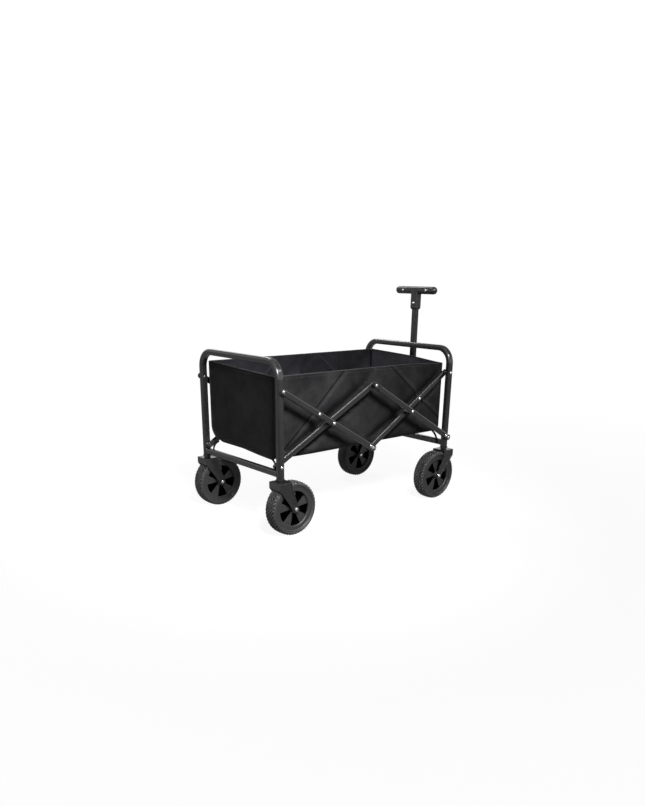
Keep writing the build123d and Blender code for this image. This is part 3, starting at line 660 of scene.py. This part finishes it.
# edge of an end panel in y and z: down the left, round the corner, along the bottom and up the right
def panelOutline(end, leftCorner, rightCorner):
    b = basket
    arc = np.linspace(0, 0.5 * np.pi, 14)
    ends = []
    for side, corner in ((1, leftCorner), (-1, rightCorner)):
        top = float(hemHeight(end * b["endX"], side * b["half"]))
        base = float(floorHeight(end * b["endX"], side * b["half"]))
        upright = np.stack([np.full(40, side * b["half"]), np.linspace(top, base + corner, 40)], -1)
        yBend, zBend = b["half"] - corner + corner * np.cos(arc), base + corner - corner * np.sin(arc)
        ends.append(np.concatenate([upright, np.stack([side * yBend, zBend], -1)[1:]]))
    y = np.linspace(ends[0][-1, 0], ends[1][-1, 0], 50)[1:-1]
    lower = np.stack([y, floorHeight(end * b["endX"], y)], -1)
    return np.concatenate([ends[0], lower, ends[1][::-1]])


def makePiping(name, end, leftCorner, rightCorner, body):
    line = panelOutline(end, leftCorner, rightCorner)
    x = np.full((len(line), 1), end * (basket["endX"] + piping["out"]))
    return makeTape(name, np.concatenate([x, line], 1), piping, body, tape)


def makePanelStitches(name, end, leftCorner, rightCorner, body):
    b, s = basket, stitch
    reach = b["half"] - s["panelInset"]
    y = np.linspace(-reach, reach, 200)
    hemLine = np.stack([y, hemHeight(end * b["endX"], y) - s["drop"]], -1)
    edge = panelOutline(end, leftCorner, rightCorner)[s["edgeSkip"]:-s["edgeSkip"]]
    middle = np.array([0.0, (b["hem"] + b["floor"]) / 2])
    shrink = 1 - s["edgeInset"] / np.array([b["half"], middle[1] - b["floor"]])
    parts = []
    for line in (hemLine, middle + (edge - middle) * shrink):
        x = end * (b["endX"] + panelOut(line[:, 0], line[:, 1], end) + panel["thick"] / 2)
        parts.append(stitchRow(np.stack([x, line[:, 0], line[:, 1]], -1)))
    return finishPiece(makeMesh(name, *joinParts(parts)), thread, body)


def makePanelBinding(name, end, body, mat):
    y = np.linspace(-basket["half"], basket["half"], 120)
    z = hemHeight(end * basket["endX"], y)
    x = end * (basket["endX"] + panelOut(y, z, end))
    return makeTape(name, np.stack([x, y, z - binding["drop"]], -1), binding, body, mat)


hemPieces = [makeHemStitches()] + makeSideBindings()
basketBody, girth = makeBasketBody()
for end, endName, leftCorner, edgeTape in ((-1, "rear", basket["rearLeftCorner"], litBindingTape),
                                           (1, "front", basket["corner"], hemTape)):
    shape = (end, leftCorner, basket["corner"], f"{endName}_frame")
    sheet = makeEndPanel(f"{endName}Panel", *shape, f"{endName}_end_panel")
    sewn = [makePiping(f"{endName}Piping", *shape), makePanelStitches(f"{endName}Stitches", *shape),
            makePanelBinding(f"{endName}Binding", end, f"{endName}_frame", edgeTape)]
print("basket done")

# floor pads: a stiff board in a sewn cloth cover, crowned by thin wadding, with a seam line round its edge
pad = {"cells": 72, "crowd": 1.6, "half": 0.0030, "under": 0.8, "crown": 0.0009, "square": 90.0,
       "seam": 0.014, "groove": 0.0008, "grooveWide": 0.0022}


# the edge rounds off as a high power of the distance from the middle; the top is crowned by fourth powers
def makeFloorPad(name, node, body):
    low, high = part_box(node)
    t = np.linspace(-1, 1, pad["cells"])
    t = np.sign(t) * (1 - (1 - np.abs(t)) ** pad["crowd"])
    u, v = np.meshgrid(t, t, indexing="ij")
    sizeX, sizeY = (high[0] - low[0]) / 2, (high[1] - low[1]) / 2
    x = (low[0] + high[0]) / 2 + sizeX * u
    y = (low[1] + high[1]) / 2 + sizeY * v
    edge = np.sqrt(np.clip((1 - np.abs(u) ** pad["square"]) * (1 - np.abs(v) ** pad["square"]), 0, 1))
    inset = np.minimum(sizeX * (1 - np.abs(u)), sizeY * (1 - np.abs(v)))
    groove = pad["groove"] * np.exp(-((inset - pad["seam"]) / pad["grooveWide"]) ** 2)
    rise = pad["half"] * edge + pad["crown"] * (1 - u ** 4) * (1 - v ** 4) - groove * (edge > 0.5)
    middle = (low[2] + high[2]) / 2
    top = np.stack([x, y, middle + rise], -1)
    under = np.stack([x, y, middle - pad["under"] * pad["half"] * edge], -1)
    faces = gridFaces(pad["cells"], pad["cells"])
    uv = np.tile(np.stack([x, y], -1).reshape(-1, 2), (2, 1))
    obj = makeMesh(name, *joinParts([(top, faces), (under, faces[:, ::-1])]), uv)
    finishPiece(obj, floorCloth, body, [node])
    return obj


makeFloorPad("rearFloorPad", "rear_floor_board", "rear_floor")
makeFloorPad("frontFloorPad", "front_floor_board", "front_floor")

# corner straps: flat tape from the cross tube to the lower corner of the end panel, bowed outwards
strap = {"foot": (0.195, 0.2065), "bow": (0.197, 0.2422), "tip": (0.155, 0.260), "width": 0.010,
         "thick": 0.0017, "points": 24, "sides": 16}


def makeStraps(name, node, body):
    low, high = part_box(node)
    t = np.linspace(0, 1, strap["points"])[:, None]
    foot, bow, tip = (np.array(strap[k]) for k in ("foot", "bow", "tip"))
    line = (1 - t) ** 2 * foot + 2 * t * (1 - t) * bow + t ** 2 * tip  # quadratic curve
    flat = strap["width"] / strap["thick"]
    parts = []
    for sign in (1, -1):
        path = np.stack([np.full(len(t), (low[0] + high[0]) / 2), sign * line[:, 0], line[:, 1]], -1)
        rings = tubeAlong(path, strap["thick"] / 2, (1, 0, 0), strap["sides"], flat)
        parts.append((rings, ringFaces(rings)))
    points, faces = joinParts(parts)
    uv = np.stack([points[:, 2], points[:, 1]], -1)
    return finishPiece(makeMesh(name, points, faces, uv), tape, body, [node])


makeStraps("rearStraps", "rear_corner_straps", "rear_frame")
makeStraps("frontStraps", "front_corner_straps", "front_frame")
print("floor pads and straps done")

# rivets: a polished dome over each CAD rivet head and a smaller one over each tail
dome = {
    "head": (0.0058, 0.0035, 0.0028), "tail": (0.0050, 0.0024, 0.0018),  # radius, height, height in the CAD
    "turns": 28, "rings": 8, "innerLane": 0.205, "trimmed": 0.2344, "trimNear": 0.0006,
}


def domeProfile(radius, high):  # quarter ellipse from the rim to the pole
    t = np.linspace(0, 0.5 * np.pi, dome["rings"])
    return np.stack([np.maximum(radius * np.cos(t), pole), high * np.sin(t)], -1)


# splits the vertices of a CAD node into its separate pins along an axis: low and high corner of each
def pinsOf(node, axis, reach=0.018):
    co = np.array([v.co[:] for v in nodes[node].data.vertices])
    left = co[np.argsort(co[:, axis])]
    flat = [i for i in range(3) if i != axis]
    pins = []
    while len(left):
        near = np.abs(left[:, flat] - left[0, flat]).max(1) < reach
        if axis == 1:  # pins on the two sides of the wagon are in line
            near &= np.sign(left[:, 1]) == np.sign(left[0, 1])
        pins.append((left[near].min(0), left[near].max(0)))
        left = left[~near]
    return pins


def makeDomes(name, node, body):
    bright, capped = [], []
    for low, high in pinsOf(node, 1):
        centre = (low + high) / 2
        side = 1 if centre[1] > 0 else -1
        outer, inner = max(abs(low[1]), abs(high[1])), min(abs(low[1]), abs(high[1]))
        for place, way, (radius, tall, cad) in ((outer, 1, dome["head"]), (inner, -1, dome["tail"])):
            if way < 0 and abs(place - dome["trimmed"]) < dome["trimNear"]:  # trimmed flush beside the posts
                continue
            at = np.array([centre[0], side * (place - way * cad), centre[2]])
            part = turned(at, 1, side * way, domeProfile(radius, tall), dome["turns"])
            (capped if place < dome["innerLane"] else bright).append(part)
    finishPiece(makeMesh(name, *joinParts(bright)), polish, body)
    if capped:  # tails against the cloth wear black nylon caps
        finishPiece(makeMesh(name + "Caps", *joinParts(capped)), blackPlastic, body)


makeDomes("rearPivotDomes", "rear_pivot_rivets", "rear_frame")
makeDomes("frontPivotDomes", "front_pivot_rivets", "front_frame")
makeDomes("rearOuterDomes", "rear_outer_rivets", "rear_outer_bars")
makeDomes("frontOuterDomes", "front_outer_rivets", "front_outer_bars")
makeDomes("frontInnerDomes", "front_inner_rivets", "front_inner_bars")


def makeHandleDomes():
    parts = []
    for low, high in pinsOf("handle_rivets", 0):
        at = (low + high) / 2
        at[0] = high[0]
        parts.append(turned(at, 0, -1, domeProfile(*dome["head"][:2]), dome["turns"]))
    return finishPiece(makeMesh("handleDomes", *joinParts(parts)), polish, "handle_upper")


makeHandleDomes()

# axle bolts: a polished dome in a dark plastic ring at each end
bolt = {"dome": (0.0068, 0.0042), "cad": 0.0030, "reach": 0.024,
        "ring": ((0.0066, 0.0), (0.0072, 0.0021), (0.0096, 0.0018), (0.0106, -0.0006))}


def makeBoltEnds(name, node, body):
    domes, rings = [], []
    for low, high in pinsOf(node, 1, bolt["reach"]):
        centre = (low + high) / 2
        for place, way in ((high[1], 1), (low[1], -1)):
            at = np.array([centre[0], place - way * bolt["cad"], centre[2]])
            domes.append(turned(at, 1, way, domeProfile(*bolt["dome"]), dome["turns"]))
            rings.append(turned(at, 1, way, bolt["ring"], dome["turns"]))
    finishPiece(makeMesh(f"{name}Domes", *joinParts(domes)), polish, body)
    finishPiece(makeMesh(f"{name}Rings", *joinParts(rings)), blackPlastic, body)


makeBoltEnds("rearAxle", "rear_axles", "rear_frame")
makeBoltEnds("frontLeftAxle", "front_axle_left", "front_caster_left")
makeBoltEnds("frontRightAxle", "front_axle_right", "front_caster_right")

# weld beads where the cross tubes meet the posts: a thin uneven ring round the tube's rounded section
weld = {"radius": 0.0017, "sides": 8, "corner": 0.005, "points": 10, "inset": 0.0006, "uneven": 0.15,
        "pulse": 2.4}


def makeWelds(name, node, body):
    low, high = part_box(node)
    middle = [(low[i] + high[i]) / 2 for i in range(3)]
    corner = weld["corner"]
    sizeX, sizeZ = (high[0] - low[0]) / 2 - corner, (high[2] - low[2]) / 2 - corner
    outline = []
    for quarter, (sx, sz) in enumerate(((1, 1), (-1, 1), (-1, -1), (1, -1))):
        t = (quarter + np.linspace(0, 1, weld["points"])) * 0.5 * np.pi
        outline.append(np.stack([sx * sizeX + corner * np.cos(t), sz * sizeZ + corner * np.sin(t)], -1))
    outline = np.concatenate(outline + [outline[0][:1]])
    parts = []
    for y in (low[1] + weld["inset"], high[1] - weld["inset"]):
        path = np.stack([middle[0] + outline[:, 0], np.full(len(outline), y), middle[2] + outline[:, 1]], -1)
        wobble = 1 + weld["uneven"] * np.sin(np.arange(len(path)) * weld["pulse"])[:, None, None]
        rings = tubeAlong(path, weld["radius"], (0, 1, 0), weld["sides"], closeEnds=False)
        rings = path[:, None, :] + (rings - path[:, None, :]) * wobble
        parts.append((rings, ringFaces(rings)))
    return finishPiece(makeMesh(name, *joinParts(parts)), coat, body)


makeWelds("rearWelds", "rear_crossbar", "rear_frame")
makeWelds("frontWelds", "front_crossbar", "front_frame")
print("rivets, bolts and welds done")

# tyres: profile turned about the axle, with a lattice of slanted grooves pressed into the tread
tyre = {
    "radius": 0.093, "half": 0.0245, "bead": 0.0748, "turns": 900, "crownRows": 40, "crownIn": 0.0068,
    "crownDrop": 0.0010, "blocks": 44, "lean": 0.0130, "groove": 0.0030, "grooveHalf": 0.0019,
    "grooveWall": 0.0006, "shoulder": 0.0075, "shoulderFade": 0.003,
    "edgeHighlightAt": 0.0013, "edgeHighlightWide": 0.0008, "edgeHighlightWeight": 0.6,
    "draft": 0.25, "ringRows": [3, 4, -5, -4], "ringShade": 0.8,
}


# radius and width of the profile as it goes from the left bead over the tread to the right bead
def tyreProfile():
    r0, h, bead = tyre["radius"], tyre["half"], tyre["bead"]
    half = np.array([
        (bead, h - 0.0035), (bead + 0.0012, h - 0.0022), (bead + 0.0028, h - 0.0012),
        (bead + 0.0034, h - 0.0030), (bead + 0.0046, h - 0.0030), (bead + 0.0052, h - 0.0008),
        (bead + 0.0066, h), (bead + 0.0085, h), (r0 - 0.0070, h - 0.0004), (r0 - 0.0050, h - 0.0014),
        (r0 - 0.0032, h - 0.0030), (r0 - 0.0018, h - 0.0052),
    ])
    edge = h - tyre["crownIn"]
    crown = np.linspace(edge, -edge, tyre["crownRows"])
    mid = np.stack([r0 - tyre["crownDrop"] * (crown / edge) ** 2, crown], -1)
    other = half[::-1] * np.array([1, -1])
    return np.concatenate([half, mid, other])


# tread pattern: two sets of slanted grooves that cross, and leave lozenge blocks; a painted highlight runs
# along the block edges
def treadDepth(turn, width, radius):
    t = tyre
    step = turn * t["blocks"] / (2 * np.pi)
    lean = width / t["lean"]
    pitch = 2 * np.pi * t["radius"] / t["blocks"]
    first = np.abs((step + lean) % 1.0 - 0.5) * pitch
    second = np.abs((step - lean) % 1.0 - 0.5) * pitch
    cut = np.minimum(first, second) - t["grooveHalf"]
    onTread = ramp((radius - (t["radius"] - t["shoulder"])) / t["shoulderFade"])
    edgeHighlight = onTread * np.exp(-((cut - t["edgeHighlightAt"]) / t["edgeHighlightWide"]) ** 2)
    sunk = t["groove"] * onTread * (1 - ramp((cut + t["grooveWall"]) / (2 * t["grooveWall"])))
    return sunk, edgeHighlight


def makeTyre(name, centre, body, node):
    profile = tyreProfile()
    turn = np.linspace(0, 2 * np.pi, tyre["turns"], endpoint=False)[:, None]
    radius = profile[None, :, 0] + 0 * turn
    width = profile[None, :, 1] + 0 * turn
    sunk, edgeHighlight = treadDepth(turn + 0 * width, width, radius)
    r = radius - sunk
    w = width - np.sign(width) * sunk * tyre["draft"]
    points = np.stack([centre[0] + r * np.cos(turn), centre[1] + w, centre[2] + r * np.sin(turn)], -1)
    obj = makeMesh(name, points, gridFaces(points.shape[0], points.shape[1], wrapRows=True))
    depth = obj.data.attributes.new("groove", "FLOAT", "POINT")
    # painted shade in the grooves, less a painted highlight along the block edges
    shade = sunk / tyre["groove"] - tyre["edgeHighlightWeight"] * edgeHighlight
    # painted shade in the ring groove beside the bead
    shade[:, tyre["ringRows"]] = tyre["ringShade"]  # the ring groove beside the bead
    depth.data.foreach_set("value", shade.astype(np.float32).ravel())
    return finishPiece(obj, rubber, body, [node])


for endName in ("rear", "front"):
    for sideName in ("left", "right"):
        node = f"{endName}_tyre_{sideName}"
        low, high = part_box(node)
        centre = [(low[i] + high[i]) / 2 for i in range(3)]
        makeTyre(f"{endName}Tyre{sideName.title()}", centre, f"{endName}_wheel_{sideName}", node)
print("tyres done")

# camera at the photograph's viewpoint
shot = {"place": (-1.80700, -2.07895, 0.82359), "azimuth": -40.5695, "elevation": 21.3806, "roll": 0.6423,
        "focalPixels": 728.05, "centreLine": 560.0, "height": 806.0, "sensor": 36.0}


def standAt(obj, x, y, z, place):  # puts an object in the scene with its own axes along x, y and z
    m = np.eye(4)
    m[:3, 0], m[:3, 1], m[:3, 2], m[:3, 3] = x, y, z, place
    obj.matrix_world = Matrix(m.tolist())
    scene.collection.objects.link(obj)


def makeCamera():
    s = shot
    a, e, r = (math.radians(s[k]) for k in ("azimuth", "elevation", "roll"))
    back = np.array([math.sin(a) * math.cos(e), -math.cos(a) * math.cos(e), math.sin(e)])
    right = np.cross([0, 0, 1], back)
    right /= np.linalg.norm(right)
    up = np.cross(back, right)
    right, up = math.cos(r) * right + math.sin(r) * up, math.cos(r) * up - math.sin(r) * right
    lens = bpy.data.cameras.new("photoCamera")
    lens.sensor_fit = "AUTO"
    lens.sensor_width = s["sensor"]
    lens.lens = s["focalPixels"] * s["sensor"] / s["height"]
    lens.shift_y = (s["centreLine"] - s["height"] / 2) / s["height"]
    lens.clip_end = 200
    cam = bpy.data.objects.new("photoCamera", lens)
    standAt(cam, right, up, back, s["place"])
    bpy.context.scene.camera = cam


# studio: pale floor, soft boxes, white surround
softBox = {
    "key": {"place": (-0.9, -1.75, 1.85), "aim": (-0.32, -0.2, 0.46), "size": 0.7, "power": 9.2,
            "spread": 50.0},
    "strip": {"place": (0.3, -1.85, 2.1), "aim": (0.1, -0.2, 0.35), "size": 1.7, "tall": 0.34, "power": 30.0},
    "top": {"place": (-0.2, -0.6, 3.4), "aim": (0, 0, 0.3), "size": 1.6, "power": 11.0},
    "left": {"place": (0.9, 2.0, 2.4), "aim": (0.1, 0, 0.5), "size": 0.6, "power": 20.0},
    "fill": {"place": (-3.2, -0.6, 1.6), "aim": (0, 0, 0.3), "size": 2.0, "power": 8.0},
}
# the floor and the surround are seen pale, but mirrored dimmer, and dimmest round the camera
studio = {
    "reach": 60.0, "paint": 0.16, "near": 0.92, "far": 1.0, "nearTo": 1.0, "farFrom": 3.5,
    "mirrored": 0.27, "cameraSide": 0.09, "dimFrom": 0.45, "dimTo": 0.85,
    "world": 0.03, "ceiling": 0.2, "sweepFrom": 0.2, "sweepTo": 0.6,
}


def areaLight(name, place, aim, size, power, tall=None, spread=180.0):
    lamp = bpy.data.lights.new(name, "AREA")
    lamp.shape = "RECTANGLE" if tall else "DISK"
    lamp.size = size
    lamp.size_y = tall or size
    lamp.energy = power
    lamp.spread = math.radians(spread)
    obj = bpy.data.objects.new(name, lamp)
    z = np.array(place, float) - np.array(aim, float)
    z /= np.linalg.norm(z)
    x = np.cross([0, 0, 1], z)
    x /= np.linalg.norm(x)
    standAt(obj, x, np.cross(z, x), z, place)
    return obj


def makeFloor():
    s, r = studio, studio["reach"]
    floor = makeMesh("studioFloor", [(-r, -r, 0), (r, -r, 0), (r, r, 0), (-r, r, 0)], [(0, 1, 2, 3)])
    mat, skin = newMaterial("paintedStudioFloor")
    path = addNode(mat, "LightPath")
    place = addNode(mat, "TexCoord").outputs["Object"]
    way = addNode(mat, "VectorMath", {0: place}, operation="NORMALIZE")
    stand = np.array(shot["place"]) * (1, 1, 0)
    ahead = addNode(mat, "VectorMath", {0: way, 1: tuple(stand / np.linalg.norm(stand))},
                    operation="DOT_PRODUCT")
    unlit = addNode(mat, "MapRange", {"Value": ahead.outputs["Value"], "From Min": s["dimFrom"],
                                      "From Max": s["dimTo"], "To Min": s["mirrored"],
                                      "To Max": s["cameraSide"]})
    shine = addNode(mat, "Math", {0: path.outputs["Is Glossy Ray"], 1: unlit}, operation="MULTIPLY")
    away = addNode(mat, "VectorMath", {0: place}, operation="LENGTH")
    pale = addNode(mat, "MapRange", {"Value": away.outputs["Value"], "From Min": s["nearTo"],
                                     "From Max": s["farFrom"], "To Min": s["near"], "To Max": s["far"]})
    glow = addNode(mat, "MapRange", {"Value": path.outputs["Is Camera Ray"], "To Min": shine, "To Max": pale})
    feed(mat, skin, Base_Color=(s["paint"], s["paint"], s["paint"], 1), Roughness=0.9, Specular_IOR_Level=0.0,
         Emission_Color=(1, 1, 1, 1), Emission_Strength=glow)
    floor.data.materials.append(mat)


def makeSurround():
    s = studio
    world = bpy.data.worlds.new("whiteSurround")
    world.use_nodes = True
    scene.world = world
    world.node_tree.nodes.clear()
    path = addNode(world, "LightPath")
    place = addNode(world, "TexCoord").outputs["Generated"]
    height = addNode(world, "SeparateXYZ", {"Vector": place})
    sweep = addNode(world, "MapRange", {"Value": height.outputs["Z"], "From Min": s["sweepFrom"],
                                        "From Max": s["sweepTo"], "To Min": 1.0, "To Max": s["ceiling"]},
                    interpolation_type="SMOOTHSTEP")
    mirrored = addNode(world, "Math", {0: path.outputs["Is Glossy Ray"],
                                       1: path.outputs["Is Transmission Ray"]}, operation="MAXIMUM")
    dim = addNode(world, "Mix", {"Factor": mirrored, "A": s["world"], "B": sweep})
    level = addNode(world, "Mix", {"Factor": path.outputs["Is Camera Ray"], "A": dim, "B": 1.0})
    sky = addNode(world, "Background", {"Color": (1, 1, 1, 1), "Strength": level})
    addNode(world, "OutputWorld", {"Surface": sky})


makeCamera()
makeFloor()
lights = {name: areaLight(name + "SoftBox", **look) for name, look in softBox.items()}
lights["strip"].visible_diffuse = False  # only mirrored, as a line along the glossy tubes
makeSurround()
bpy.context.scene.view_settings.view_transform = "Standard"
print("camera and studio set")
